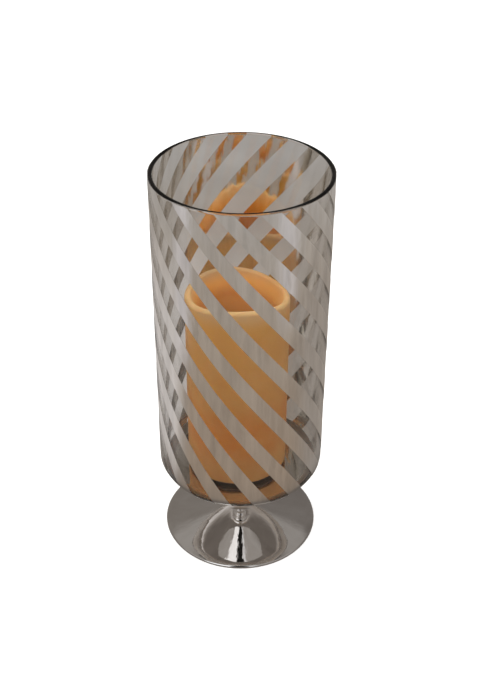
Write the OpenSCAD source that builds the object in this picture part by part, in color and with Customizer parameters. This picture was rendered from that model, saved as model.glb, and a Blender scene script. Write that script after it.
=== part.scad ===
// Hurricane candle lantern: a footed glass cylinder with spiral silver stripes,
// holding a battery pillar candle that lifts out through the open top.
// Millimetres. The origin is the centre of the foot's resting plane, +Z is up and -Y is the front.

/* [Glass] */
// Height of the rim above the table
total_h = 314.5; // [305:0.5:330]
// Outside diameter of the glass cylinder
glass_d = 126.5; // [124:0.5:132]
// Thickness of the glass wall
glass_t = 3.2; // [2.6:0.1:3.6]
// Thickness of the glass floor
floor_t = 5; // [4:0.1:5.5]
// Height of the underside of the glass above the table
bowl_z = 63; // [62:0.5:68]
// Outside radius of the rounded bottom corner
corner_r = 11; // [10:0.5:13]
// Inside radius of the bottom corner
inner_corner_r = 2.5; // [2:0.5:6]

/* [Silver stripes] */
// Number of spiral stripes
stripe_count = 13; // [9:1:16]
// Share of the circumference that is silvered
stripe_share = 0.443; // [0.35:0.001:0.5]
// Twist of the stripes at mid height, in degrees per millimetre
stripe_twist = 0.686; // [0.5:0.001:0.75]
// Growth of the twist towards the rim, in degrees per square millimetre
stripe_curl = 0.00045; // [0:0.00001:0.0006]
// Angle of the first stripe's centre line at stripe_mid_z
stripe_start = -19.8; // [-30:0.2:0]
// Unevenness of the hand-laid stripes once round, in degrees
drift_one = 1.2; // [0:0.1:3]
// Unevenness of the hand-laid stripes twice round, in degrees
drift_two = 1.7; // [0:0.1:3]
// Thickness of the silver layer
silver_t = 0.2; // [0.15:0.05:0.3]
// How far the silver under the glass climbs its rounded corner, in degrees
mirror_edge = 50; // [40:1:60]

/* [Pedestal] */
// Diameter of the foot
foot_d = 121.6; // [116:0.2:124]
// Thickness of the foot's rim
foot_rim_t = 2.6; // [2.2:0.1:3]
// Slope of the foot's upper face
foot_slope = 13.5; // [12:0.5:15]
// Radius of the sweep from the foot up into the neck
foot_sweep_r = 8; // [7:0.5:10]
// Radius of the neck between foot and knop
neck_r = 5; // [4.5:0.1:5.5]
// Height of the small ring below the knop
ring_z = 33; // [32:0.5:34]
// Height of the knop's centre
knop_z = 40.5; // [40:0.5:42]
// Outside radius of the knop
knop_r = 13; // [11:0.5:14]
// Radius of the flare where it meets the underside of the glass
flare_r = 50; // [46:0.5:50]

/* [Candle] */
// Sideways place of the candle in the glass
candle_x = -2.8; // [-8:0.1:8]
// Diameter of the wax pillar
wax_d = 76.4; // [75:0.2:77]
// Mean height of the melted rim above the candle's base
wax_top = 151.6; // [148:0.1:156]
// Rise and fall of the melted rim once round
rim_wave_one = 3.5; // [0:0.1:6]
// Rise and fall of the melted rim twice round
rim_wave_two = 2.4; // [0:0.1:5]
// Depth of the melted well below the mean rim
well_depth = 49; // [44:0.5:51]
// Height of the dark plastic base that shows below the wax
base_gap = 2.1; // [1.8:0.1:3]

/* [Candle electronics] */
// Diameter of an AA cell
cell_d = 14.3; // [14:0.1:14.5]
// Length of an AA cell with its button
cell_l = 50.3; // [49.5:0.1:50.5]
// Turn of the battery cover from locked to open
cover_turn = 40; // [36:1:42]
// Travel of the switch to each side of its middle place
switch_travel = 2; // [1.5:0.1:2]

/* [Hidden] */
$fn = 96;
eps = 0.01;
slip = 0.1;

// Glass
glass_r = glass_d / 2;
inner_r = glass_r - glass_t;
stand_z = bowl_z + floor_t;
corner_z = bowl_z + corner_r;

// Stripes
pitch_angle = 360 / stripe_count;
stripe_angle = pitch_angle * stripe_share;
stripe_mid_z = 201;
silver_lift = 0.15;
stripe_rim_gap = 1.2;
corner_steps = 6;
wall_steps = 24;
across_steps = 3;
stations = corner_steps + wall_steps;

// Pedestal
foot_r = foot_d / 2;
foot_top_z = foot_line(neck_r + foot_sweep_r) + foot_sweep_r / cos(foot_slope);
foot_ring_r = 54;
foot_wall = 2.6;
knop_bead_r = 4;
ring_bead_r = 2;
ring_r = 9;
flare_neck_r = 5.5;
flare_neck_pull = 13.5;
flare_neck_angle = 68;
flare_edge_pull = 4.8;
flare_edge_angle = 40;
flare_steps = 16;

// Candle, heights above its own base
wax_r = wax_d / 2;
wax_wall = 6;
well_floor = wax_top - well_depth;
well_floor_t = 12;
well_taper = 5.5;
core_bore_r = 32.3;
wave_steps = 40;

// Plastic core
housing_r = 32;
housing_wall = 2;
housing_h = 80;
flange_r = 36.4;
plate_z = 2.4;
cover_y = 3;
cover_r = 18.93;
cover_hole_r = 19;
lug_r = 21.8;
lug_angle = 24;
lug_low = plate_z + slip;
lug_high = 4;
notch_r = 22.3;
notch_angle = 28;
post_x = 22.1;
post_y = 15.5;
post_r = 2.6;
roof_z = 61;
roof_t = 2;
cap_t = 2;
chimney_r = 5.5;
chimney_bore_r = 3;
led_z = 99;
led_r = 2.5;

// Cells and contacts
bridge_t = 0.4;
cell_x = 8;
cell_r = cell_d / 2;
cell_z = lug_high + bridge_t + 0.02;
button_r = 2.7;
button_h = 1;
sleeve_bore_r = cell_r + 0.25;
sleeve_wall = 1.6;
spring_r = 4.5;
spring_wire_r = 0.35;
spring_turns = 4;

// Board and switch
board_z = 66;
board_t = 1.6;
board_x = 36;
board_y = 26;
board_top = board_z + board_t;
pillar_x = 14.5;
pillar_y = 9.5;
switch_y = -23.5;
switch_h = 4;
slot_x = 8.6;
wire_r = 0.6;
wire_hole_r = 0.9;

function foot_line(r) = foot_rim_t + (foot_r - r) * tan(foot_slope);

// Rise of the wax rim above its mean height at an angle about the candle
function rim_wave(a) = rim_wave_one * cos(a + 112) + rim_wave_two * cos(2 * a + 152);

// Centre line of a stripe at a height, with the drift of its laying
function stripe_drift(i) =
    drift_one * cos((i - 0.5) * pitch_angle - 24) + drift_two * cos(2 * (i - 0.5) * pitch_angle + 58);
function stripe_centre(i, z) =
    stripe_start - i * pitch_angle + stripe_drift(i)
    - stripe_twist * (z - stripe_mid_z) - stripe_curl * pow(z - stripe_mid_z, 2);

// Point on a stripe: station s runs from the edge of the base mirror round the corner and up to the rim
function corner_angle(s) =
    let (start = mirror_edge + 1.5)
    start + (90 - start) * min(s, corner_steps) / corner_steps;
function wall_rise(s) =
    (total_h - stripe_rim_gap - corner_z) * max(s - corner_steps, 0) / wall_steps;
function stripe_radius(s, lift) = glass_r - corner_r + (corner_r + lift) * sin(corner_angle(s));
function stripe_height(s, lift) = corner_z - (corner_r + lift) * cos(corner_angle(s)) + wall_rise(s);
function stripe_point(i, s, step, lift) =
    let (a = stripe_centre(i, stripe_height(s, 0)) + stripe_angle * (step / across_steps - 0.5))
    let (r = stripe_radius(s, lift))
    [r * cos(a), r * sin(a), stripe_height(s, lift)];

// Closed shell over a grid of points: layer 0 is the inner skin and layer 1 the outer skin
function grid_id(layer, row, col, rows, cols) = (layer * (rows + 1) + row) * (cols + 1) + col;
function quad(a, b, c, d) = [[a, b, c], [a, c, d]];

module shell(points, rows, cols) {
    outer = [for (r = [0:rows - 1], c = [0:cols - 1])
        each quad(grid_id(1, r, c, rows, cols), grid_id(1, r + 1, c, rows, cols),
            grid_id(1, r + 1, c + 1, rows, cols), grid_id(1, r, c + 1, rows, cols))];
    inner = [for (r = [0:rows - 1], c = [0:cols - 1])
        each quad(grid_id(0, r, c, rows, cols), grid_id(0, r, c + 1, rows, cols),
            grid_id(0, r + 1, c + 1, rows, cols), grid_id(0, r + 1, c, rows, cols))];
    sides = [for (r = [0:rows - 1])
        each concat(
            quad(grid_id(0, r, 0, rows, cols), grid_id(0, r + 1, 0, rows, cols),
                grid_id(1, r + 1, 0, rows, cols), grid_id(1, r, 0, rows, cols)),
            quad(grid_id(1, r, cols, rows, cols), grid_id(1, r + 1, cols, rows, cols),
                grid_id(0, r + 1, cols, rows, cols), grid_id(0, r, cols, rows, cols)))];
    ends = [for (c = [0:cols - 1])
        each concat(
            quad(grid_id(1, 0, c, rows, cols), grid_id(1, 0, c + 1, rows, cols),
                grid_id(0, 0, c + 1, rows, cols), grid_id(0, 0, c, rows, cols)),
            quad(grid_id(0, rows, c, rows, cols), grid_id(0, rows, c + 1, rows, cols),
                grid_id(1, rows, c + 1, rows, cols), grid_id(1, rows, c, rows, cols)))];
    polyhedron(points = points, faces = concat(outer, inner, sides, ends));
}

// Straight wire with rounded bends through a list of points
module wire(path, r) {
    for (i = [0:len(path) - 2]) {
        run = path[i + 1] - path[i];
        translate(path[i])
            rotate([0, acos(run[2] / norm(run)), atan2(run[1], run[0])])
                cylinder(h = norm(run), r = r, $fn = 24);
    }
    for (i = [1:len(path) - 2])
        translate(path[i])
            sphere(r = r, $fn = 24);
}

// Compression coil on +Z, swept as a ring of points along a helix
module coil(r, wire_radius, turns, height) {
    per_turn = 14;
    around = 6;
    steps = turns * per_turn;
    points = [for (i = [0:steps], j = [0:around - 1])
        let (a = 360 * i / per_turn, b = 360 * j / around)
        [
            (r + wire_radius * cos(b)) * cos(a),
            (r + wire_radius * cos(b)) * sin(a),
            height * i / steps + wire_radius * sin(b)
        ]];
    walls = [for (i = [0:steps - 1], j = [0:around - 1])
        let (k = (j + 1) % around)
        each quad(i * around + j, i * around + k, (i + 1) * around + k, (i + 1) * around + j)];
    first = [for (j = [0:around - 1]) around - 1 - j];
    last = [for (j = [0:around - 1]) steps * around + j];
    polyhedron(points = points, faces = concat(walls, [first], [last]));
}

// Sector of a ring, centred on +X
module ring_sector(inner, outer, angle, height) {
    reach = outer * 1.3;
    intersection() {
        difference() {
            cylinder(h = height, r = outer);
            translate([0, 0, -eps])
                cylinder(h = height + 2 * eps, r = inner);
        }
        linear_extrude(height = height)
            polygon([
                [0, 0],
                [reach * cos(angle / 2), -reach * sin(angle / 2)],
                [reach * cos(angle / 2), reach * sin(angle / 2)]
            ]);
    }
}

module at_candle() {
    translate([candle_x, 0, stand_z])
        children();
}

module at_cover() {
    at_candle()
        translate([0, cover_y, 0])
            children();
}

// Half section of a cylinder vessel with a rounded bottom corner
module vessel_section(r, bottom, corner, top) {
    translate([0, bottom])
        square([r - corner, top - bottom]);
    translate([0, bottom + corner])
        square([r, top - bottom - corner]);
    translate([r - corner, bottom + corner])
        circle(r = corner);
}

// ---- Lantern ----

module glass_cylinder() {
    rim_r = glass_t / 2;
    color("lightgray", 0.4)
        rotate_extrude() {
            difference() {
                vessel_section(glass_r, bowl_z, corner_r, total_h - rim_r);
                vessel_section(inner_r, stand_z, inner_corner_r, total_h + 1);
            }
            translate([glass_r - rim_r, total_h - rim_r])
                circle(r = rim_r);
        }
}

module silver_stripes() {
    color("rosybrown")
        for (i = [0:stripe_count - 1])
            shell([for (layer = [0, 1], s = [0:stations], c = [0:across_steps])
                stripe_point(i, s, c, silver_lift + layer * silver_t)], stations, across_steps);
}

// Silver film under the glass floor, from the flare out and part of the way round the corner
module base_mirror() {
    film_r = corner_r + silver_lift + silver_t;
    reach = 2 * film_r;
    color("silver")
        rotate_extrude() {
            translate([flare_r, bowl_z - silver_lift - silver_t])
                square([glass_r - corner_r - flare_r, silver_t]);
            translate([glass_r - corner_r, corner_z])
                intersection() {
                    difference() {
                        circle(r = film_r);
                        circle(r = corner_r + silver_lift);
                    }
                    polygon([
                        [0, 0],
                        [0, -reach],
                        [reach * sin(mirror_edge), -reach * cos(mirror_edge)]
                    ]);
                }
        }
}

// Outline of the flare, a cubic curve from the top of the knop (t = 0) to the glass (t = 1)
function flare_point(t) =
    let (low = [flare_neck_r, knop_z + knop_bead_r])
    let (high = [flare_r, bowl_z])
    let (low_pull = low + flare_neck_pull * [cos(flare_neck_angle), sin(flare_neck_angle)])
    let (high_pull = high - flare_edge_pull * [cos(flare_edge_angle), sin(flare_edge_angle)])
    let (u = 1 - t)
    u * u * u * low + 3 * t * u * u * low_pull + 3 * t * t * u * high_pull + t * t * t * high;

// Half section of a disc with a rounded edge, centred on a height
module bead_section(r, bead_r, z) {
    translate([r - bead_r, z])
        circle(r = bead_r);
    translate([0, z - bead_r])
        square([r - bead_r, 2 * bead_r]);
}

module stem() {
    color("silver")
        rotate_extrude() {
            translate([0, foot_top_z])
                square([neck_r, knop_z - foot_top_z]);
            bead_section(ring_r, ring_bead_r, ring_z);
            bead_section(knop_r, knop_bead_r, knop_z);
            polygon(concat(
                [[0, bowl_z], [0, knop_z], [flare_neck_r, knop_z]],
                [for (i = [0:flare_steps]) flare_point(i / flare_steps)]
            ));
        }
}

module foot() {
    sweep_x = neck_r + foot_sweep_r;
    touch_x = sweep_x + foot_sweep_r * sin(foot_slope);
    edge_r = foot_rim_t / 2;
    color("silver")
        rotate_extrude()
            difference() {
                union() {
                    polygon([
                        [0, 0],
                        [foot_r - edge_r, 0],
                        [foot_r - edge_r, foot_rim_t],
                        [touch_x, foot_line(touch_x)],
                        [sweep_x, foot_top_z],
                        [0, foot_top_z]
                    ]);
                    translate([foot_r - edge_r, edge_r])
                        circle(r = edge_r);
                }
                translate([sweep_x, foot_top_z])
                    circle(r = foot_sweep_r);
                polygon([
                    [0, -1],
                    [foot_ring_r, -1],
                    [foot_ring_r, 0],
                    [foot_ring_r - 4, foot_line(foot_ring_r - 4) - foot_wall],
                    [neck_r, foot_line(neck_r) - foot_wall],
                    [0, foot_line(0) - foot_wall]
                ]);
            }
}

// ---- Candle ----

// Everything above the wavy melted rim, to be cut from the wax
module above_rim() {
    inner = well_opening_r() - 6;
    outer = wax_r + 4;
    top = wax_top + 20;
    ring = [for (i = [0:wave_steps - 1])
        let (a = 360 * i / wave_steps, z = wax_top + rim_wave(a))
        each [
            [inner * cos(a), inner * sin(a), z],
            [outer * cos(a), outer * sin(a), z],
            [outer * cos(a), outer * sin(a), top],
            [inner * cos(a), inner * sin(a), top]
        ]];
    faces = [for (i = [0:wave_steps - 1], j = [0:3])
        let (k = (i + 1) % wave_steps, n = (j + 1) % 4)
        each quad(i * 4 + j, i * 4 + n, k * 4 + n, k * 4 + j)];
    polyhedron(points = ring, faces = faces);
}

function well_opening_r() = wax_r - wax_wall;

module wax_shell() {
    tallest = wax_top + rim_wave_one + rim_wave_two;
    color("burlywood")
        at_candle()
            difference() {
                translate([0, 0, base_gap])
                    cylinder(h = tallest - base_gap, r = wax_r);
                translate([0, 0, well_floor])
                    cylinder(h = tallest - well_floor + 1, r1 = well_opening_r() - well_taper,
                        r2 = well_opening_r());
                translate([0, 0, base_gap - 1])
                    cylinder(h = well_floor - well_floor_t - base_gap + 1, r = core_bore_r);
                cylinder(h = wax_top, r = chimney_r + 0.3);
                above_rim();
            }
}

module base_housing() {
    color("saddlebrown")
        at_candle() {
            difference() {
                union() {
                    cylinder(h = base_gap, r = flange_r);
                    cylinder(h = housing_h, r = housing_r);
                }
                translate([0, 0, plate_z])
                    cylinder(h = housing_h, r = housing_r - housing_wall);
                translate([0, cover_y, -1])
                    cylinder(h = plate_z + 2, r = cover_hole_r);
                for (i = [0:2])
                    translate([0, cover_y, -1])
                        rotate([0, 0, 90 + 120 * i - cover_turn])
                            ring_sector(cover_hole_r - 2, notch_r, notch_angle, plate_z + 2);
                translate([-slot_x / 2, switch_y - 1.5, -1])
                    cube([slot_x, 3, plate_z + 2]);
            }
            for (x = [-post_x, post_x], y = [-post_y, post_y])
                translate([x, y, plate_z])
                    difference() {
                        cylinder(h = roof_z - plate_z, r = post_r);
                        translate([0, 0, roof_z - plate_z - 11])
                            cylinder(h = 12, r = 1.25);
                    }
            for (i = [0:2], end = [-1, 1])
                translate([0, cover_y, plate_z])
                    rotate([0, 0, 90 + 120 * i - cover_turn / 2
                        + end * (cover_turn / 2 + lug_angle / 2 + 2.5)])
                        ring_sector(19.6, notch_r, 2.6, lug_high - plate_z);
        }
}

module battery_holder() {
    sleeve_r = sleeve_bore_r + sleeve_wall;
    sleeve_z = 4.8;
    color("saddlebrown")
        at_candle()
            difference() {
                union() {
                    for (x = [-cell_x, cell_x])
                        translate([x, cover_y, sleeve_z])
                            cylinder(h = roof_z - sleeve_z, r = sleeve_r);
                    translate([0, 0, roof_z])
                        cylinder(h = roof_t, r = housing_r - housing_wall - 0.2);
                    for (x = [-pillar_x, pillar_x], y = [-pillar_y, pillar_y])
                        translate([x, cover_y + y, roof_z])
                            cylinder(h = board_z - roof_z, r = 2);
                }
                for (x = [-cell_x, cell_x])
                    translate([x, cover_y, sleeve_z - 1])
                        cylinder(h = roof_z - sleeve_z + 1, r = sleeve_bore_r);
                for (x = [-cell_x, cell_x])
                    translate([x, cover_y, roof_z - 1])
                        cylinder(h = roof_t + 2, r = wire_hole_r, $fn = 24);
                for (x = [-post_x, post_x], y = [-post_y, post_y])
                    translate([x, y, roof_z - 1])
                        cylinder(h = roof_t + 2, r = 1.3);
                for (s = [-1, 1])
                    translate([s * pillar_x, cover_y + s * pillar_y, board_z - 4])
                        cylinder(h = 5, r = 0.95, $fn = 24);
                for (x = [-3, 0, 3])
                    translate([x, switch_y, roof_z - 1])
                        cylinder(h = roof_t + 2, r = wire_hole_r, $fn = 24);
            }
}

module battery_cover() {
    color("sienna")
        at_cover()
            difference() {
                union() {
                    translate([0, 0, 0.2])
                        cylinder(h = lug_high - 0.2, r = cover_r);
                    for (i = [0:2])
                        translate([0, 0, lug_low])
                            rotate([0, 0, 90 + 120 * i])
                                ring_sector(cover_r - 2, lug_r, lug_angle, lug_high - lug_low);
                }
                translate([-8, -1.1, -0.8])
                    cube([16, 2.2, 2.2]);
            }
}

module cover_bridge() {
    color("gainsboro")
        at_cover()
            translate([0, 0, lug_high])
                cylinder(h = bridge_t, r = 15.5);
}

module cell(flip) {
    can = cell_l - button_h;
    cylinder_z = flip ? button_h : 0;
    button_z = flip ? 0 : can;
    translate([0, 0, cylinder_z])
        cylinder(h = can, r = cell_r);
    translate([0, 0, button_z])
        cylinder(h = button_h, r = button_r);
}

module batteries() {
    color("darkgray")
        at_cover() {
            translate([-cell_x, 0, cell_z])
                cell(false);
            translate([cell_x, 0, cell_z])
                cell(true);
        }
}

module contact_springs() {
    low = cell_z + cell_l + spring_wire_r + 0.05;
    high = roof_z - 0.5 - spring_wire_r;
    color("silver")
        at_cover()
            for (x = [-cell_x, cell_x])
                translate([x, 0, low])
                    coil(spring_r, spring_wire_r, spring_turns, high - low);
}

module contact_plates() {
    side = 10;
    color("gainsboro")
        at_cover()
            for (x = [-cell_x, cell_x])
                translate([x - side / 2, -side / 2, roof_z - 0.45])
                    cube([side, side, 0.4]);
}

module battery_wires() {
    color("firebrick")
        at_cover()
            for (x = [-cell_x, cell_x])
                translate([x, 0, roof_z - 0.05])
                    cylinder(h = board_z - roof_z + 0.05, r = wire_r, $fn = 24);
}

module circuit_board() {
    color("darkgreen")
        at_cover()
            difference() {
                translate([-board_x / 2, -board_y / 2, board_z])
                    cube([board_x, board_y, board_t]);
                for (s = [-1, 1])
                    translate([s * pillar_x, s * pillar_y, board_z - 1])
                        cylinder(h = board_t + 2, r = 1.1, $fn = 24);
            }
}

module screw(length, r, head_r, head_h) {
    translate([0, 0, -length])
        cylinder(h = length, r = r, $fn = 24);
    difference() {
        cylinder(h = head_h, r = head_r, $fn = 32);
        for (turn = [0, 90])
            rotate([0, 0, turn])
                translate([-head_r * 0.6, -0.3, head_h * 0.4])
                    cube([head_r * 1.2, 0.6, head_h]);
    }
}

module board_screws() {
    color("silver")
        at_cover()
            for (s = [-1, 1])
                translate([s * pillar_x, s * pillar_y, board_top])
                    screw(5, 0.9, 1.9, 1.2);
}

module timer_chip() {
    color("dimgray")
        at_cover()
            translate([-8, 5, board_top]) {
                translate([-2.5, -2, 0.2])
                    cube([5, 4, 1.5]);
                for (x = [-1.9, -0.65, 0.65, 1.9], side = [-1, 1])
                    translate([x - 0.2, side > 0 ? 2 : -3, 0])
                        cube([0.4, 1, 0.7]);
            }
}

module capacitor() {
    color("navy")
        at_cover()
            translate([10, 4, board_top])
                cylinder(h = 6.5, r = 2.5, $fn = 48);
}

module resistor() {
    color("tan")
        at_cover()
            translate([8, -6, board_top]) {
                translate([-2.2, 0, 1.2])
                    rotate([0, 90, 0])
                        cylinder(h = 4.4, r = 0.9, $fn = 32);
                wire([[-4, 0, 0], [-4, 0, 1.2], [4, 0, 1.2], [4, 0, 0]], 0.25);
            }
}

module switch_body() {
    color("dimgray")
        at_candle()
            translate([0, switch_y, plate_z])
                difference() {
                    translate([-5, -2.75, 0])
                        cube([10, 5.5, switch_h]);
                    translate([-4.3, -1.3, -1])
                        cube([8.6, 2.6, 3.4]);
                }
}

module switch_knob() {
    pad_z = 0.4;
    color("ivory")
        at_candle()
            translate([0, switch_y, pad_z]) {
                translate([-2, -1.3, 0])
                    cube([4, 2.6, plate_z - pad_z - 0.2]);
                translate([-1.3, -1, 0])
                    cube([2.6, 2, plate_z - pad_z + 2]);
            }
}

module switch_wires() {
    duck_z = roof_z + roof_t + 1.2;
    color("royalblue")
        at_candle()
            for (x = [-3, 0, 3])
                wire([
                    [x, switch_y, plate_z + switch_h],
                    [x, switch_y, duck_z],
                    [x, cover_y - board_y / 2 + 1.5, duck_z],
                    [x, cover_y - board_y / 2 + 1.5, board_z]
                ], wire_r);
}

module core_cap() {
    color("saddlebrown")
        at_candle()
            difference() {
                union() {
                    translate([0, 0, housing_h])
                        cylinder(h = cap_t, r = housing_r);
                    translate([0, 0, housing_h - 3])
                        cylinder(h = 3 + cap_t, r = housing_r - housing_wall - slip);
                    translate([0, 0, housing_h])
                        cylinder(h = led_z - housing_h, r = chimney_r);
                }
                translate([0, 0, housing_h - 4])
                    cylinder(h = led_z, r = chimney_bore_r);
                translate([0, 0, housing_h - 4])
                    cylinder(h = 4, r = housing_r - 2 * housing_wall);
            }
}

module core_screws() {
    color("silver")
        at_candle()
            for (x = [-post_x, post_x], y = [-post_y, post_y])
                translate([x, y, roof_z + roof_t])
                    screw(11, 1.2, 2.4, 1.6);
}

module flame_led() {
    color("orange")
        at_candle() {
            translate([0, 0, led_z])
                cylinder(h = 1, r = led_r + 0.4, $fn = 48);
            translate([0, 0, led_z])
                cylinder(h = 6, r = led_r, $fn = 48);
            translate([0, 0, led_z + 6])
                sphere(r = led_r, $fn = 48);
        }
}

module led_leads() {
    color("silver")
        at_candle()
            for (x = [-1.27, 1.27])
                translate([x, 0, board_top])
                    cylinder(h = led_z - board_top, r = 0.25, $fn = 24);
}

glass_cylinder();
silver_stripes();
base_mirror();
stem();
foot();
wax_shell();
base_housing();
battery_holder();
battery_cover();
cover_bridge();
batteries();
contact_springs();
contact_plates();
battery_wires();
circuit_board();
board_screws();
timer_chip();
capacitor();
resistor();
switch_body();
switch_knob();
switch_wires();
core_cap();
core_screws();
flame_led();
led_leads();
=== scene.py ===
import math

import bmesh
import bpy
from mathutils import Matrix, Vector


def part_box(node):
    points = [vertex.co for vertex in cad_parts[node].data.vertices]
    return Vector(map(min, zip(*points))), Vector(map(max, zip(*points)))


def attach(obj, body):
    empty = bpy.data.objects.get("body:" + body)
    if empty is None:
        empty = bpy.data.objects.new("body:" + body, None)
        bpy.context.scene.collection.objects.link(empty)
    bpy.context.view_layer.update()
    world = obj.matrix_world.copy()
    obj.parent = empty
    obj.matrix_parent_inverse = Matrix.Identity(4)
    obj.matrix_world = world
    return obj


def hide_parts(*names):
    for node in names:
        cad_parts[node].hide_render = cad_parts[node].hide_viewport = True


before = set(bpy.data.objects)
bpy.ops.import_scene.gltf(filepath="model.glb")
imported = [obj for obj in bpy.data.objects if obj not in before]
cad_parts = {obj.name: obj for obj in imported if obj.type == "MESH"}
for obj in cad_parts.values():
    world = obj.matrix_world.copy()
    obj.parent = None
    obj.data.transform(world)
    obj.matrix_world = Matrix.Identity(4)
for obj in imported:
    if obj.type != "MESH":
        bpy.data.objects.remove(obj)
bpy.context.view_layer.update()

MM = 0.001

# ---- Sizes: outlines from the frame, details in metres ----

glass_lo, glass_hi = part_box("glass_cylinder")
foot_lo, foot_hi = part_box("foot")
wax_lo, wax_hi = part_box("wax_shell")
stem_lo, stem_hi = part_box("stem")

# Glass cylinder
GLASS_R = (glass_hi.x - glass_lo.x) / 2
GLASS_TOP = glass_hi.z
BOWL_Z = glass_lo.z
GLASS_T = 3.2 * MM
FLOOR_T = 5.0 * MM
CORNER_R = 11.0 * MM
INNER_CORNER_R = 2.5 * MM
STAND_Z = BOWL_Z + FLOOR_T

# Foot: a shallow cone that sweeps up into the neck
FOOT_R = (foot_hi.x - foot_lo.x) / 2
FOOT_RIM_T = 2.6 * MM
FOOT_WALL = 2.6 * MM
FOOT_SLOPE = math.radians(13.5)
FOOT_SWEEP_R = 8.0 * MM
FOOT_RING_R = 54.0 * MM
FOOT_RING_WIDTH = 4.0 * MM
NECK_R = 5.0 * MM

# Stem: small ring, knop and the flare under the glass
RING_Z = 33.0 * MM
RING_R = 9.0 * MM
RING_BEAD_R = 2.0 * MM
KNOP_Z = 40.5 * MM
KNOP_R = 13.0 * MM
KNOP_BEAD_R = 4.0 * MM
FLARE_R = (stem_hi.x - stem_lo.x) / 2
FLARE_NECK_R = 5.5 * MM
FLARE_NECK_PULL = 13.5 * MM
FLARE_NECK_ANGLE = math.radians(68)
FLARE_EDGE_PULL = 4.8 * MM
FLARE_EDGE_ANGLE = math.radians(40)
JOIN_GAP = 0.05 * MM

# Stripes: angles in degrees, twist in degrees per millimetre of rise, heights in millimetres
STRIPES = 13
STRIPE_SHARE = 0.443
STRIPE_TWIST = 0.686
STRIPE_CURL = 0.00045
STRIPE_START = -19.8
STRIPE_MID_Z = 201
DRIFT_ONE = 1.2
DRIFT_ONE_TURN = 24
DRIFT_TWO = 1.7
DRIFT_TWO_TURN = 58

# Silvering: MIRROR_EDGE is how far it comes round the corner, in degrees from straight down
SILVER_LIFT = 0.03 * MM
SILVER_T = 0.14 * MM
STRIPE_RIM_GAP = 1.2 * MM
MIRROR_EDGE = 50
CORNER_FILM_TOP = BOWL_Z + CORNER_R * (1 - math.cos(math.radians(MIRROR_EDGE + 0.5)))

# Candle: melted lip with two waves round the rim, a well and the hollow for the core
WAX_X = (wax_lo.x + wax_hi.x) / 2
WAX_R = (wax_hi.x - wax_lo.x) / 2
WAX_LOW = wax_lo.z
WAX_MEAN = STAND_Z + 151.6 * MM
WAX_EDGE_R = 0.8 * MM
LIP_R = 2.5 * MM
LIP_SLUMP = 1.6 * MM
MELT_DEPTH = 25.0 * MM
MELT_BLEND = 22.0 * MM
WAVE_ONE = 3.5 * MM
WAVE_ONE_TURN = math.radians(112)
WAVE_TWO = 2.4 * MM
WAVE_TWO_TURN = math.radians(152)
WELL_FLOOR = WAX_MEAN - 49.0 * MM
WELL_R = WAX_R - 11.5 * MM
WELL_FILLET = 4.0 * MM
CORE_R = 32.3 * MM
CORE_ROOF = WELL_FLOOR - 12.0 * MM
CHIMNEY_R = 5.8 * MM
CELL_BAND = 14.0 * MM

# ---- Viewpoint and floor ----

CAMERA_BACK = 0.67197
CAMERA_UP = 0.63867
CAMERA_PITCH = math.radians(34.698)
CAMERA_ROLL = math.radians(0.256)
CAMERA_LENS = 57.773
CAMERA_SHIFT = 0.00137
FLOOR_HALF = 6.0
FLOOR_DROP = 0.2 * MM

# ---- Mesh helpers ----

POLE_R = 1e-7


def arc(cx, cz, r, start, end, steps):
    """Points on an arc in the (radius, height) plane, angles in degrees from the outward direction."""
    points = []
    for i in range(steps + 1):
        a = math.radians(start + (end - start) * i / steps)
        points.append((cx + r * math.cos(a), cz + r * math.sin(a)))
    return points


def make_object(name, verts, faces, sharp_angle=40):
    mesh = bpy.data.meshes.new(name)
    mesh.from_pydata([tuple(v) for v in verts], [], faces)
    mesh.validate()
    bm = bmesh.new()
    bm.from_mesh(mesh)
    bmesh.ops.recalc_face_normals(bm, faces=bm.faces)
    bm.to_mesh(mesh)
    bm.free()
    for polygon in mesh.polygons:
        polygon.use_smooth = True
    mesh.set_sharp_from_angle(angle=math.radians(sharp_angle))
    obj = bpy.data.objects.new(name, mesh)
    bpy.context.scene.collection.objects.link(obj)
    return obj


def revolve_points(profile, steps, centre_x=0.0, lift=None):
    """Vertices and faces of a closed revolved skin. A profile point at radius 0 is a pole."""
    verts, rows, faces = [], [], []
    for r, z in profile:
        if r < POLE_R:
            rows.append([len(verts)] * steps)
            verts.append((centre_x, 0.0, z))
            continue
        row = []
        for i in range(steps):
            a = 2 * math.pi * i / steps
            row.append(len(verts))
            dz = lift(z, a) if lift else 0.0
            verts.append((centre_x + r * math.cos(a), r * math.sin(a), z + dz))
        rows.append(row)
    for low, high in zip(rows, rows[1:]):
        for i in range(steps):
            k = (i + 1) % steps
            face = []
            for v in (low[i], low[k], high[k], high[i]):
                if v not in face:
                    face.append(v)
            if len(face) > 2:
                faces.append(face)
    return verts, faces


def revolve(name, profile, steps=192, centre_x=0.0, closed=False, lift=None):
    if closed:
        profile = profile + [profile[0]]
    verts, faces = revolve_points(profile, steps, centre_x, lift)
    obj = make_object(name, verts, faces)
    if closed:
        bm = bmesh.new()
        bm.from_mesh(obj.data)
        bmesh.ops.remove_doubles(bm, verts=bm.verts, dist=POLE_R)
        bmesh.ops.recalc_face_normals(bm, faces=bm.faces)
        bm.to_mesh(obj.data)
        bm.free()
    return obj


# ---- Material helpers ----


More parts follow.
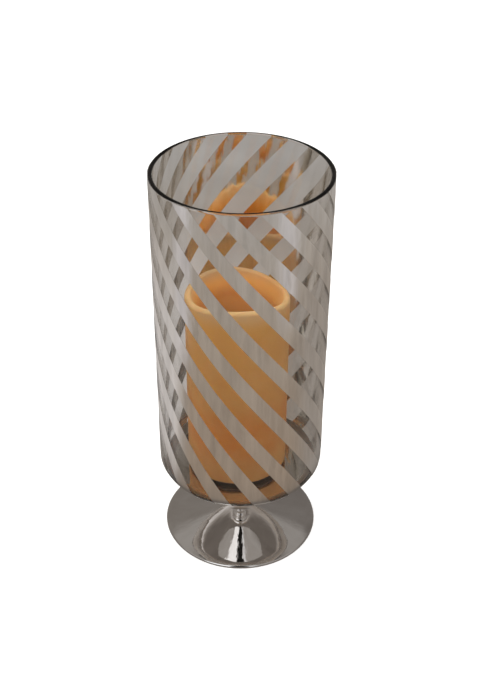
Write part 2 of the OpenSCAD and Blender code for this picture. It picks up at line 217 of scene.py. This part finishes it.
class Nodes:
    """Short calls for building the node tree of one material or world."""

    def __init__(self, owner, output="ShaderNodeOutputMaterial"):
        owner.use_nodes = True
        self.owner = owner
        self.tree = owner.node_tree
        self.tree.nodes.clear()
        self.output = self.tree.nodes.new(output)

    def add(self, kind, **settings):
        node = self.tree.nodes.new(kind)
        for key, value in settings.items():
            setattr(node, key, value)
        return node

    def link(self, source, target):
        self.tree.links.new(source, target)

    def put(self, target, value):
        """Sets a socket to a number or colour, or links it to another socket."""
        if isinstance(value, bpy.types.NodeSocket):
            self.link(value, target)
        elif isinstance(value, tuple) and len(value) == 3 and target.type == "RGBA":
            target.default_value = (*value, 1.0)
        else:
            target.default_value = value

    def math(self, operation, a, b=0.0):
        node = self.add("ShaderNodeMath", operation=operation)
        self.put(node.inputs[0], a)
        self.put(node.inputs[1], b)
        return node.outputs[0]

    def times(self, product, *factors):
        for factor in factors:
            product = self.math("MULTIPLY", product, factor)
        return product

    def mix(self, fac, a, b):
        node = self.add("ShaderNodeMix", data_type="RGBA")
        self.put(node.inputs[0], fac)
        self.put(node.inputs[6], a)
        self.put(node.inputs[7], b)
        return node.outputs[2]

    def map_range(self, value, low, high, to_low=0.0, to_high=1.0, smooth=False):
        node = self.add("ShaderNodeMapRange")
        if smooth:
            node.interpolation_type = "SMOOTHSTEP"
        for socket, item in zip(node.inputs, (value, low, high, to_low, to_high)):
            self.put(socket, item)
        return node.outputs[0]

    def rise(self, value, low, high):
        """0 below low and 1 above high, smooth between."""
        return self.map_range(value, low, high, smooth=True)

    def fall(self, value, low, high):
        """1 below low and 0 above high, smooth between."""
        return self.map_range(value, low, high, 1.0, 0.0, smooth=True)

    def coords(self):
        return self.add("ShaderNodeTexCoord").outputs["Object"]

    def polar(self, centre_x=0.0):
        """Angle about the vertical axis, distance from it and height of a point, in object space."""
        split = self.add("ShaderNodeSeparateXYZ")
        self.link(self.coords(), split.inputs[0])
        x = self.math("SUBTRACT", split.outputs[0], centre_x)
        y = split.outputs[1]
        angle = self.math("ARCTAN2", y, x)
        radius = self.math("SQRT", self.math("ADD", self.times(x, x), self.times(y, y)))
        return angle, radius, split.outputs[2]

    def join(self, x, y, z):
        node = self.add("ShaderNodeCombineXYZ")
        for socket, value in zip(node.inputs, (x, y, z)):
            self.put(socket, value)
        return node.outputs[0]

    def noise(self, vector, scale, detail=3.0, rough=0.5, distortion=0.0):
        node = self.add("ShaderNodeTexNoise")
        self.put(node.inputs["Vector"], vector)
        node.inputs["Scale"].default_value = scale
        node.inputs["Detail"].default_value = detail
        node.inputs["Roughness"].default_value = rough
        node.inputs["Distortion"].default_value = distortion
        return node.outputs["Fac"]

    def scaled(self, vector, x, y, z):
        node = self.add("ShaderNodeMapping")
        self.put(node.inputs["Vector"], vector)
        node.inputs["Scale"].default_value = (x, y, z)
        return node.outputs[0]

    def ring(self, angle, height, turns, rise, offset=0.0):
        """Coordinates that run without a seam round the axis, for streaks that follow the height."""
        s = self.times(self.math("SINE", angle), turns)
        c = self.times(self.math("COSINE", angle), turns)
        return self.join(c, s, self.math("ADD", self.times(height, rise), offset))

    def bump(self, height, strength, distance):
        node = self.add("ShaderNodeBump")
        node.inputs["Strength"].default_value = strength
        node.inputs["Distance"].default_value = distance
        self.put(node.inputs["Height"], height)
        return node.outputs[0]

    def principled(self, **values):
        node = self.add("ShaderNodeBsdfPrincipled")
        for key, value in values.items():
            self.put(node.inputs[key.replace("_", " ")], value)
        return node

    def switch(self, fac, off, on):
        """Mix of two shader nodes."""
        node = self.add("ShaderNodeMixShader")
        self.put(node.inputs[0], fac)
        self.link(off.outputs[0], node.inputs[1])
        self.link(on.outputs[0], node.inputs[2])
        return node

    def finish(self, shader):
        self.link(shader.outputs[0], self.output.inputs["Surface"])
        return self.owner


def material_nodes(name):
    return Nodes(bpy.data.materials.new(name))


# ---- Materials ----


def glass_material():
    n = material_nodes("clear_glass")
    angle, _, height = n.polar()
    streaks = n.noise(n.ring(angle, height, 1.6, 5.0), 2.0, 1.0)
    wave = n.bump(streaks, 0.15, 0.0006)
    tint = n.mix(n.map_range(streaks, 0.3, 0.7), (0.955, 0.95, 0.94), (0.97, 0.967, 0.96))
    glass = n.add("ShaderNodeBsdfGlass")
    n.put(glass.inputs["Color"], tint)
    glass.inputs["Roughness"].default_value = 0.0
    glass.inputs["IOR"].default_value = 1.5
    n.put(glass.inputs["Normal"], wave)
    clear = n.add("ShaderNodeBsdfTransparent")
    clear.inputs["Color"].default_value = (0.93, 0.925, 0.915, 1.0)
    path = n.add("ShaderNodeLightPath")
    lit = n.math("MAXIMUM", path.outputs["Is Shadow Ray"], path.outputs["Is Diffuse Ray"])
    return n.finish(n.switch(lit, glass, clear))


def stripe_silver():
    n = material_nodes("stripe_silver")
    angle, radius, height = n.polar()
    fine = n.noise(n.ring(angle, height, 9.0, 14.0), 1.7, 3.0, 0.55, 0.5)
    broad = n.noise(n.ring(angle, height, 3.0, 20.0, 3.0), 1.3, 2.0, 0.5, 0.8)
    tone = n.mix(n.map_range(fine, 0.35, 0.68), (0.86, 0.83, 0.79), (0.95, 0.93, 0.90))
    tone = n.mix(n.map_range(broad, 0.35, 0.7, 0.0, 0.7), tone, (0.98, 0.965, 0.94))
    rough = n.map_range(fine, 0.3, 0.7, 0.05, 0.10)
    flat_r = GLASS_R - CORNER_R
    corner = n.times(n.math("LESS_THAN", height, CORNER_FILM_TOP),
                     n.map_range(radius, flat_r - 1 * MM, flat_r + 2 * MM))
    rough = n.math("ADD", rough, n.times(corner, 0.6))
    wave = n.bump(n.math("ADD", n.times(fine, 0.15), broad), 0.3, 0.0010)
    return n.finish(n.principled(Base_Color=tone, Metallic=1.0, Roughness=rough, Normal=wave))


def pedestal_silver():
    n = material_nodes("pedestal_silver")
    angle, radius, _ = n.polar()
    ripple = n.noise(n.ring(angle, radius, 2.2, 30.0), 2.5, 3.0, 0.5, 0.4)
    tone = n.mix(n.map_range(ripple, 0.3, 0.7), (0.90, 0.88, 0.86), (0.97, 0.96, 0.945))
    rough = n.map_range(ripple, 0.3, 0.7, 0.015, 0.045)
    wave = n.bump(ripple, 0.2, 0.0004)
    return n.finish(n.principled(Base_Color=tone, Metallic=1.0, Roughness=rough, Normal=wave))


def wax_material():
    n = material_nodes("ivory_wax")
    angle, radius, height = n.polar(WAX_X)
    mottle = n.noise(n.coords(), 60.0, 4.0, 0.6)
    cloud = n.noise(n.coords(), 14.0, 2.0, 0.5, 0.6)
    # Painted shade: the wax is darker towards the bottom and lighter towards the lip, as the light falls
    # from above.
    body = n.mix(n.map_range(height, WAX_LOW, WAX_MEAN), (0.68, 0.310, 0.100), (0.90, 0.455, 0.100))
    # Painted light: a deeper orange band round the middle stands in for warm light bounced between the
    # wax and the silvered stripes.
    painted_bounce_band = n.times(n.rise(height, 80 * MM, 112 * MM), n.fall(height, 120 * MM, 150 * MM))
    body = n.mix(n.times(painted_bounce_band, 0.9), body, (0.78, 0.255, 0.038))
    # Painted shade: the right side of the candle is darker, away from the light.
    body = n.mix(n.map_range(n.math("COSINE", angle), 0.1, 0.9, 0.0, 0.3), body, (0.55, 0.23, 0.05))
    body = n.mix(n.map_range(cloud, 0.35, 0.7, 0.0, 0.45), body, (0.88, 0.43, 0.12))
    # Painted light and shade on the lip: the near side is lighter, a painted glow through the thin wax,
    # and the far side is darker, a painted shade.
    lip = n.rise(height, WAX_MEAN - 12 * MM, WAX_MEAN + 4 * MM)
    behind = n.rise(n.math("SINE", angle), -0.2, 0.7)
    melted = n.mix(behind, (0.84, 0.58, 0.29), (0.33, 0.28, 0.20))
    body = n.mix(n.times(lip, 0.75), body, melted)
    body = n.mix(n.map_range(mottle, 0.4, 0.75, 0.0, 0.2), body, (0.90, 0.57, 0.27))
    # Painted shade in the well: its wall is darker towards the well floor.
    inside = n.math("LESS_THAN", radius, WAX_R - 3.0 * MM)
    well_shade = n.fall(height, WELL_FLOOR, WAX_MEAN - 2 * MM)
    body = n.mix(n.times(inside, well_shade, 0.8), body, (0.54, 0.28, 0.07))
    rough = n.map_range(mottle, 0.3, 0.7, 0.42, 0.6)
    relief = n.bump(n.math("ADD", mottle, n.times(cloud, 2.0)), 0.25, 0.0006)
    wax = n.principled(
        Base_Color=body, Roughness=rough, Normal=relief, Subsurface_Weight=0.3,
        Subsurface_Radius=(1.0, 0.5, 0.2), Subsurface_Scale=0.005,
    )
    wax.inputs["Specular IOR Level"].default_value = 0.35
    return n.finish(wax)


def plastic(name, colour, light, roughness=0.45, scale=900.0):
    """Moulded plastic: a fine spark texture and slow changes of tone."""
    n = material_nodes(name)
    grain = n.noise(n.coords(), scale, 2.0)
    cloud = n.noise(n.coords(), scale / 30, 2.0)
    tone = n.mix(n.map_range(cloud, 0.3, 0.7), colour, light)
    rough = n.map_range(grain, 0.3, 0.7, roughness - 0.07, roughness + 0.1)
    relief = n.bump(grain, 0.3, 0.0001)
    return n.finish(n.principled(Base_Color=tone, Roughness=rough, Normal=relief))


def plated(name, colour, light, roughness=0.25, along=(1, 1, 12)):
    """Plated or drawn metal with fine lines along one direction."""
    n = material_nodes(name)
    lines = n.noise(n.scaled(n.coords(), *along), 900.0, 3.0)
    tone = n.mix(n.map_range(lines, 0.35, 0.65), colour, light)
    rough = n.map_range(lines, 0.3, 0.7, roughness - 0.08, roughness + 0.1)
    return n.finish(n.principled(
        Base_Color=tone, Metallic=1.0, Roughness=rough, Normal=n.bump(lines, 0.15, 0.00005)))


def cell_material():
    """Battery can: a dark sleeve with one bright end band."""
    n = material_nodes("cell_can")
    height = n.polar()[2]
    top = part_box("batteries")[1].z
    band = n.map_range(height, top - CELL_BAND, top - CELL_BAND + 0.4 * MM)
    scratch = n.noise(n.coords(), 500.0, 4.0)
    tone = n.mix(band, (0.05, 0.055, 0.065), (0.72, 0.42, 0.12))
    tone = n.mix(n.map_range(scratch, 0.5, 0.8, 0.0, 0.3), tone, (0.5, 0.5, 0.5))
    rough = n.map_range(scratch, 0.3, 0.7, 0.25, 0.4)
    return n.finish(n.principled(Base_Color=tone, Metallic=0.7, Roughness=rough))


def board_material():
    n = material_nodes("board_laminate")
    traces = n.add("ShaderNodeTexBrick")
    n.put(traces.inputs["Vector"], n.coords())
    traces.inputs["Scale"].default_value = 140.0
    traces.inputs["Mortar Size"].default_value = 0.06
    n.put(traces.inputs["Color1"], (0.02, 0.16, 0.05))
    n.put(traces.inputs["Color2"], (0.025, 0.19, 0.06))
    n.put(traces.inputs["Mortar"], (0.10, 0.36, 0.14))
    rough = n.map_range(n.noise(n.coords(), 700.0), 0.3, 0.7, 0.25, 0.4)
    return n.finish(n.principled(Base_Color=traces.outputs["Color"], Roughness=rough))


def led_material():
    n = material_nodes("amber_led")
    cloud = n.noise(n.coords(), 900.0, 2.0)
    tone = n.mix(cloud, (0.95, 0.45, 0.08), (1.0, 0.60, 0.18))
    return n.finish(n.principled(
        Base_Color=tone, Roughness=0.15, Transmission_Weight=0.4,
        Emission_Color=(1.0, 0.45, 0.10), Emission_Strength=n.map_range(cloud, 0.2, 0.8, 0.15, 0.3)))


# ---- Pieces ----


def hurricane_glass():
    rim_r = GLASS_T / 2
    inner_r = GLASS_R - GLASS_T
    inner_c = INNER_CORNER_R
    ease = 0.4 * MM
    profile = [(0, BOWL_Z), (GLASS_R - CORNER_R - ease, BOWL_Z)]
    profile += arc(GLASS_R - CORNER_R, BOWL_Z + CORNER_R, CORNER_R, -90, 0, 24)
    profile += [(GLASS_R, BOWL_Z + CORNER_R + ease), (GLASS_R, GLASS_TOP - rim_r - ease)]
    profile += arc(GLASS_R - rim_r, GLASS_TOP - rim_r, rim_r, 0, 180, 16)
    profile += [(inner_r, GLASS_TOP - rim_r - ease), (inner_r, STAND_Z + inner_c + ease)]
    profile += arc(inner_r - inner_c, STAND_Z + inner_c, inner_c, 0, -90, 20)
    profile += [(inner_r - inner_c - ease, STAND_Z), (0, STAND_Z)]
    return revolve("hurricane_glass", profile, 256)


def stripe_centre(index, z_mm):
    pitch = 360 / STRIPES
    a = (index - 0.5) * pitch
    drift = DRIFT_ONE * math.cos(math.radians(a - DRIFT_ONE_TURN))
    drift += DRIFT_TWO * math.cos(math.radians(2 * a + DRIFT_TWO_TURN))
    rise = z_mm - STRIPE_MID_Z
    return STRIPE_START - index * pitch + drift - STRIPE_TWIST * rise - STRIPE_CURL * rise * rise


def stripe_path():
    """Stations round the corner and up the wall: (corner angle in degrees, rise)."""
    corner_steps, wall_steps = 6, 110
    start = MIRROR_EDGE + 1.0
    wall = GLASS_TOP - STRIPE_RIM_GAP - BOWL_Z - CORNER_R
    path = [(start + (90 - start) * i / corner_steps, 0.0) for i in range(corner_steps)]
    return path + [(90.0, wall * i / wall_steps) for i in range(wall_steps + 1)]


def stripe_band(index):
    """One spiral stripe of silvering: a thin closed band that hugs the glass."""
    across = 10
    width = 360 / STRIPES * STRIPE_SHARE
    path = stripe_path()
    verts, faces = [], []
    for lift in (SILVER_LIFT, SILVER_LIFT + SILVER_T):
        for corner, rise in path:
            a = math.radians(corner)
            base_z = BOWL_Z + CORNER_R - CORNER_R * math.cos(a) + rise
            r = GLASS_R - CORNER_R + (CORNER_R + lift) * math.sin(a)
            z = BOWL_Z + CORNER_R - (CORNER_R + lift) * math.cos(a) + rise
            centre = stripe_centre(index, base_z / MM)
            for j in range(across + 1):
                phi = math.radians(centre + width * (j / across - 0.5))
                verts.append((r * math.cos(phi), r * math.sin(phi), z))
    rows, cols = len(path), across + 1
    layer = rows * cols

    def at(side, row, col):
        return side * layer + row * cols + col

    for row in range(rows - 1):
        for col in range(across):
            for side in (0, 1):
                faces.append((at(side, row, col), at(side, row, col + 1),
                              at(side, row + 1, col + 1), at(side, row + 1, col)))
        for col in (0, across):
            faces.append((at(0, row, col), at(0, row + 1, col), at(1, row + 1, col), at(1, row, col)))
    for row in (0, rows - 1):
        for col in range(across):
            faces.append((at(0, row, col), at(0, row, col + 1), at(1, row, col + 1), at(1, row, col)))
    return verts, faces


def silver_bands():
    verts, faces = [], []
    for index in range(STRIPES):
        band_verts, band_faces = stripe_band(index)
        offset = len(verts)
        verts += band_verts
        faces += [tuple(v + offset for v in face) for face in band_faces]
    return make_object("silver_bands", verts, faces)


def floor_silvering():
    """Silvering under the glass floor, carried part of the way round the corner."""
    inner = FLARE_R + JOIN_GAP
    centre_r, centre_z = GLASS_R - CORNER_R, BOWL_Z + CORNER_R
    near, far = CORNER_R + SILVER_LIFT, CORNER_R + SILVER_LIFT + SILVER_T
    profile = [(inner, centre_z - far), (inner, centre_z - near)]
    profile += arc(centre_r, centre_z, near, -90, MIRROR_EDGE - 90, 16)
    profile += arc(centre_r, centre_z, far, MIRROR_EDGE - 90, -90, 16)
    return revolve("floor_silvering", profile, 256, closed=True)


def foot_line(r):
    return FOOT_RIM_T + (FOOT_R - r) * math.tan(FOOT_SLOPE)


def foot_top():
    return foot_line(NECK_R + FOOT_SWEEP_R) + FOOT_SWEEP_R / math.cos(FOOT_SLOPE)


def pedestal_foot():
    edge = FOOT_RIM_T / 2
    slope = math.degrees(FOOT_SLOPE)
    sweep_x = NECK_R + FOOT_SWEEP_R
    profile = [(0, foot_top()), (NECK_R, foot_top())]
    profile += arc(sweep_x, foot_top(), FOOT_SWEEP_R, 180, 270 - slope, 36)[1:]
    start = profile[-1][0]
    end = FOOT_R - edge
    for i in range(1, 16):
        r = start + (end - start) * i / 16
        profile.append((r, foot_line(r)))
    profile += arc(FOOT_R - edge, edge, edge, 90 - slope, -90, 14)
    hollow_r = FOOT_RING_R - FOOT_RING_WIDTH
    profile += [(FOOT_RING_R, 0), (hollow_r, foot_line(hollow_r) - FOOT_WALL)]
    profile += [(NECK_R, foot_line(NECK_R) - FOOT_WALL), (0, foot_line(0) - FOOT_WALL)]
    return revolve("pedestal_foot", profile, 256)


def flare_outline(low, high, steps):
    """Cubic curve in the (radius, height) plane, from the knop out to the underside of the glass."""
    low_pull = (low[0] + FLARE_NECK_PULL * math.cos(FLARE_NECK_ANGLE),
                low[1] + FLARE_NECK_PULL * math.sin(FLARE_NECK_ANGLE))
    high_pull = (high[0] - FLARE_EDGE_PULL * math.cos(FLARE_EDGE_ANGLE),
                 high[1] - FLARE_EDGE_PULL * math.sin(FLARE_EDGE_ANGLE))
    points = []
    for i in range(steps + 1):
        t = i / steps
        u = 1 - t
        weights = (u * u * u, 3 * t * u * u, 3 * t * t * u, t * t * t)
        parts = list(zip(weights, (low, low_pull, high_pull, high)))
        points.append(tuple(sum(w * p[k] for w, p in parts) for k in (0, 1)))
    return points


def pedestal_stem():
    """Turned stem: neck, small ring, knop and wide flare, as one revolved outline."""
    low = foot_top() + JOIN_GAP
    high = BOWL_Z - JOIN_GAP
    profile = [(0, low), (NECK_R, low), (NECK_R, RING_Z - RING_BEAD_R)]
    profile += arc(RING_R - RING_BEAD_R, RING_Z, RING_BEAD_R, -90, 90, 20)
    profile += [(NECK_R, RING_Z + RING_BEAD_R), (NECK_R, KNOP_Z - KNOP_BEAD_R)]
    profile += arc(KNOP_R - KNOP_BEAD_R, KNOP_Z, KNOP_BEAD_R, -90, 90, 28)
    profile += flare_outline((FLARE_NECK_R, KNOP_Z + KNOP_BEAD_R), (FLARE_R, high), 40)[1:]
    profile += [(0, high)]
    return revolve("pedestal_stem", profile, 192)


def rim_wave(angle):
    """Rise of the melted rim above its mean height."""
    one = WAVE_ONE * math.cos(angle + WAVE_ONE_TURN)
    two = WAVE_TWO * math.cos(2 * angle + WAVE_TWO_TURN)
    return one + two


def wax_lift(z, angle):
    """Only the melted part moves with the rim: all of it at the lip and none below the melt depth."""
    share = max(0.0, min(1.0, (z - (WAX_MEAN - MELT_DEPTH)) / MELT_BLEND))
    return rim_wave(angle) * share * share * (3 - 2 * share)


def wax_pillar():
    """Pillar with a thin melted lip, a well whose wall thickens downward and the hollow for the core."""
    lip_z = WAX_MEAN - LIP_R
    profile = [(CORE_R, CORE_ROOF), (CORE_R, WAX_LOW), (WAX_R - WAX_EDGE_R, WAX_LOW)]
    profile += arc(WAX_R - WAX_EDGE_R, WAX_LOW + WAX_EDGE_R, WAX_EDGE_R, -90, 0, 5)
    profile += [(WAX_R, WAX_LOW + (lip_z - 2 * MM - WAX_LOW) * i / 40) for i in range(1, 41)]
    profile += arc(WAX_R - LIP_R, lip_z, LIP_R, 0, 165, 18)
    lip_in, lip_low = profile[-1]
    for i in range(1, 18):
        t = i / 18
        slump = LIP_SLUMP * math.sin(math.pi * min(1.0, 2 * t))
        r = lip_in + (WELL_R - lip_in) * t - slump
        profile.append((r, lip_low - (lip_low - WELL_FLOOR - WELL_FILLET) * t))
    profile += arc(WELL_R - WELL_FILLET, WELL_FLOOR + WELL_FILLET, WELL_FILLET, 0, -90, 8)
    profile += [(CHIMNEY_R, WELL_FLOOR), (CHIMNEY_R, CORE_ROOF)]
    return revolve("wax_pillar", profile, 160, WAX_X, closed=True, lift=wax_lift)


# ---- Stage ----


def floor_material():
    """Pale floor. Mirrors and glass see it as a warm grey studio cloth, with a painted shadow of the
    lantern near the foot and soft light far out.
    """
    n = material_nodes("studio_floor")
    angle, radius, _ = n.polar()
    broad = n.noise(n.ring(angle, radius, 2.6, 3.0), 2.2, 3.0, 0.55)
    fine = n.noise(n.ring(angle, radius, 8.0, 5.0, 2.0), 2.2, 3.0, 0.6)
    behind = n.rise(n.math("SINE", angle), -0.5, 0.1)
    # Painted shadow of the lantern: the cloth is darker near the foot, out to about 0.1 to 0.18 metres,
    # before it turns to the warm grey.
    outside = n.rise(radius, 0.10, 0.14)
    cloth = n.mix(n.times(behind, outside), (0.135, 0.117, 0.104), (0.290, 0.262, 0.240))
    warm = n.rise(radius, n.math("ADD", 0.08, n.times(behind, 0.06)), 0.18)
    cloth = n.mix(warm, cloth, (0.285, 0.228, 0.180))
    cloth = n.mix(n.map_range(radius, 0.17, 0.40), cloth, (0.330, 0.284, 0.240))
    cloth = n.mix(n.map_range(radius, 0.40, 0.70), cloth, (0.390, 0.370, 0.352))
    beyond = n.times(n.rise(radius, 0.12, 0.17), n.fall(radius, 0.35, 0.60))
    right = n.rise(n.math("COSINE", angle), -0.3, 0.4)
    back = n.mix(right, (0.530, 0.500, 0.485), (0.295, 0.260, 0.230))
    cloth = n.mix(n.times(behind, beyond), cloth, back)

    def soft_box(angle_deg, half_deg, near, far, strength):
        """Pale glow on the cloth between two radii, within half_deg of an angle."""
        across = n.math("ABSOLUTE", n.math("SUBTRACT", angle, math.radians(angle_deg)))
        inside = n.fall(across, math.radians(half_deg - 8), math.radians(half_deg + 8))
        between = n.times(n.rise(radius, near, near + 0.12), n.fall(radius, far, far + 0.2))
        return n.times(inside, between, strength)

    cloth = n.mix(soft_box(-165, 11, 0.26, 0.8, 0.45), cloth, (0.66, 0.64, 0.68))
    cloth = n.mix(soft_box(-33, 12, 0.36, 0.9, 0.4), cloth, (0.66, 0.64, 0.68))
    shade = n.times(n.map_range(broad, 0.25, 0.75, 0.86, 1.14),
                    n.map_range(fine, 0.25, 0.75, 0.93, 1.07))
    seen = n.add("ShaderNodeEmission")
    n.put(seen.inputs["Color"], cloth)
    n.put(seen.inputs["Strength"], shade)
    pale = n.principled(Base_Color=(0.93, 0.93, 0.925), Roughness=0.9)
    lift = n.add("ShaderNodeEmission")
    n.put(lift.inputs["Color"], (1.0, 1.0, 0.995))
    lift.inputs["Strength"].default_value = 0.25
    both = n.add("ShaderNodeAddShader")
    n.link(pale.outputs[0], both.inputs[0])
    n.link(lift.outputs[0], both.inputs[1])
    path = n.add("ShaderNodeLightPath")
    above = n.switch(path.outputs["Is Camera Ray"], seen, both)
    geometry = n.add("ShaderNodeNewGeometry")
    clear = n.add("ShaderNodeBsdfTransparent")
    return n.finish(n.switch(geometry.outputs["Backfacing"], above, clear))


def make_floor():
    corners = [(-1, -1), (1, -1), (1, 1), (-1, 1)]
    verts = [(x * FLOOR_HALF, y * FLOOR_HALF, -FLOOR_DROP) for x, y in corners]
    mesh = bpy.data.meshes.new("floor")
    mesh.from_pydata(verts, [], [(0, 1, 2, 3)])
    floor = bpy.data.objects.new("floor", mesh)
    bpy.context.scene.collection.objects.link(floor)
    mesh.materials.append(floor_material())


def make_world():
    """Soft white light on surfaces. Mirrors see a warm grey room with a few pale windows."""
    world = bpy.data.worlds.new("studio")
    bpy.context.scene.world = world
    n = Nodes(world, "ShaderNodeOutputWorld")
    split = n.add("ShaderNodeSeparateXYZ")
    n.link(n.add("ShaderNodeTexCoord").outputs["Generated"], split.inputs[0])
    x, y, z = split.outputs
    azimuth = n.math("ARCTAN2", x, n.times(y, -1.0))
    elevation = n.math("ARCSINE", z)

    def patch(azimuth_deg, elevation_deg, half_az, half_el, soft):
        """1 inside a soft-edged window in the room, 0 outside. Azimuth 0 is behind the viewer."""
        edge = math.radians(soft)
        inside = []
        spans = ((azimuth, azimuth_deg, half_az), (elevation, elevation_deg, half_el))
        for value, middle, half in spans:
            off = n.math("ABSOLUTE", n.math("SUBTRACT", value, math.radians(middle)))
            inside.append(n.fall(off, math.radians(half) - edge, math.radians(half) + edge))
        return n.times(*inside)

    round_wall = n.join(n.math("COSINE", azimuth), n.math("SINE", azimuth), n.times(elevation, 0.3))
    wall = n.noise(round_wall, 3.0, 3.0)
    side = n.rise(x, -0.45, 0.45)
    room = n.mix(side, (0.180, 0.161, 0.144), (0.125, 0.110, 0.100))
    glow = n.times(n.rise(elevation, math.radians(42), math.radians(50)),
                   n.fall(elevation, math.radians(58), math.radians(68)))
    room = n.mix(n.times(glow, 0.6), room, (0.34, 0.32, 0.30))
    room = n.mix(n.map_range(wall, 0.3, 0.7, 0.0, 0.2), room, (0.34, 0.32, 0.30))
    room = n.mix(n.map_range(y, 0.25, -0.25, 0.0, 0.9, True), room, (0.330, 0.312, 0.298))
    room = n.mix(patch(-31, 42, 18, 36, 4.0), room, (0.98, 0.98, 1.0))
    room = n.mix(patch(19, 42, 5, 36, 4.0), room, (0.70, 0.70, 0.72))
    room = n.mix(patch(0, 45, 13, 40, 1.5), room, (0.012, 0.011, 0.010))
    path = n.add("ShaderNodeLightPath")
    lit = n.math("GREATER_THAN", path.outputs["Diffuse Depth"], 0.5)
    colour = n.mix(lit, room, (1.0, 0.985, 0.97))
    colour = n.mix(path.outputs["Is Camera Ray"], colour, (0.93, 0.93, 0.93))
    background = n.add("ShaderNodeBackground")
    n.put(background.inputs["Color"], colour)
    background.inputs["Strength"].default_value = 1.0
    n.finish(background)


def make_light(name, place, target, size, power, colour):
    """Large soft lamp that lights surfaces and doesn't show in mirrors."""
    light = bpy.data.lights.new(name, "AREA")
    light.size = size
    light.energy = power
    light.color = colour
    obj = bpy.data.objects.new(name, light)
    obj.location = place
    obj.rotation_mode = "QUATERNION"
    obj.rotation_quaternion = (Vector(target) - Vector(place)).to_track_quat("-Z", "Y")
    obj.visible_glossy = False
    obj.visible_transmission = False
    bpy.context.scene.collection.objects.link(obj)


def make_camera():
    """Viewpoint above and in front of the lantern, looking 35 degrees down."""
    camera = bpy.data.cameras.new("camera")
    camera.sensor_width = 36
    camera.lens = CAMERA_LENS
    camera.shift_x = CAMERA_SHIFT
    camera.clip_start, camera.clip_end = 0.01, 50
    obj = bpy.data.objects.new("camera", camera)
    turn = Matrix.Rotation(math.pi / 2 - CAMERA_PITCH, 4, "X") @ Matrix.Rotation(CAMERA_ROLL, 4, "Z")
    obj.matrix_world = Matrix.Translation((0, -CAMERA_BACK, CAMERA_UP)) @ turn
    bpy.context.scene.collection.objects.link(obj)
    bpy.context.scene.camera = obj


# ---- Assembly ----


def dress(obj, material, body=None, stands_for=()):
    obj.data.materials.clear()
    obj.data.materials.append(material)
    if body:
        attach(obj, body)
    if stands_for:
        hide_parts(*stands_for)


stripe_finish = stripe_silver()
pedestal_finish = pedestal_silver()
dress(hurricane_glass(), glass_material(), "lantern", ["glass_cylinder"])
dress(silver_bands(), stripe_finish, "lantern", ["silver_stripes"])
dress(floor_silvering(), stripe_finish, "lantern", ["base_mirror"])
dress(pedestal_foot(), pedestal_finish, "lantern", ["foot"])
dress(pedestal_stem(), pedestal_finish, "lantern", ["stem"])
dress(wax_pillar(), wax_material(), "candle", ["wax_shell"])

brown = plastic("brown_plastic", (0.075, 0.045, 0.030), (0.105, 0.066, 0.045))
nickel = plated("contact_nickel", (0.60, 0.59, 0.56), (0.78, 0.77, 0.74))
steel = plated("screw_steel", (0.50, 0.50, 0.50), (0.70, 0.70, 0.69), 0.32)
epoxy = plastic("chip_plastic", (0.02, 0.02, 0.022), (0.04, 0.04, 0.045), 0.55)
cells = cell_material()
red = plastic("red_insulation", (0.45, 0.03, 0.02), (0.60, 0.06, 0.04), 0.5)
black = plastic("black_insulation", (0.015, 0.015, 0.015), (0.035, 0.035, 0.035), 0.5)
FINISHES = {
    "base_housing": brown,
    "battery_holder": brown,
    "battery_cover": brown,
    "core_cap": brown,
    "cover_bridge": nickel,
    "contact_springs": nickel,
    "contact_plates": nickel,
    "led_leads": nickel,
    "batteries": cells,
    "capacitor": cells,
    "battery_wires": red,
    "switch_wires": black,
    "circuit_board": board_material(),
    "board_screws": steel,
    "core_screws": steel,
    "timer_chip": epoxy,
    "switch_body": epoxy,
    "resistor": plastic("resistor_body", (0.50, 0.38, 0.24), (0.66, 0.54, 0.38), 0.4),
    "switch_knob": plastic("knob_plastic", (0.74, 0.72, 0.66), (0.84, 0.82, 0.77), 0.35),
    "flame_led": led_material(),
}
for node, finish in FINISHES.items():
    dress(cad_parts[node], finish)

make_floor()
make_world()
make_light("key", (-0.7, -0.5, 1.3), (0, 0, 0.15), 0.9, 9.0, (1.0, 0.97, 0.93))
make_light("fill", (0.9, -0.3, 1.0), (0, 0, 0.12), 0.9, 4.0, (0.95, 0.97, 1.0))
make_camera()

scene = bpy.context.scene
scene.view_settings.view_transform = "Standard"
scene.view_settings.look = "None"
scene.cycles.max_bounces = 24
scene.cycles.transmission_bounces = 16
scene.cycles.glossy_bounces = 12
scene.cycles.transparent_max_bounces = 24
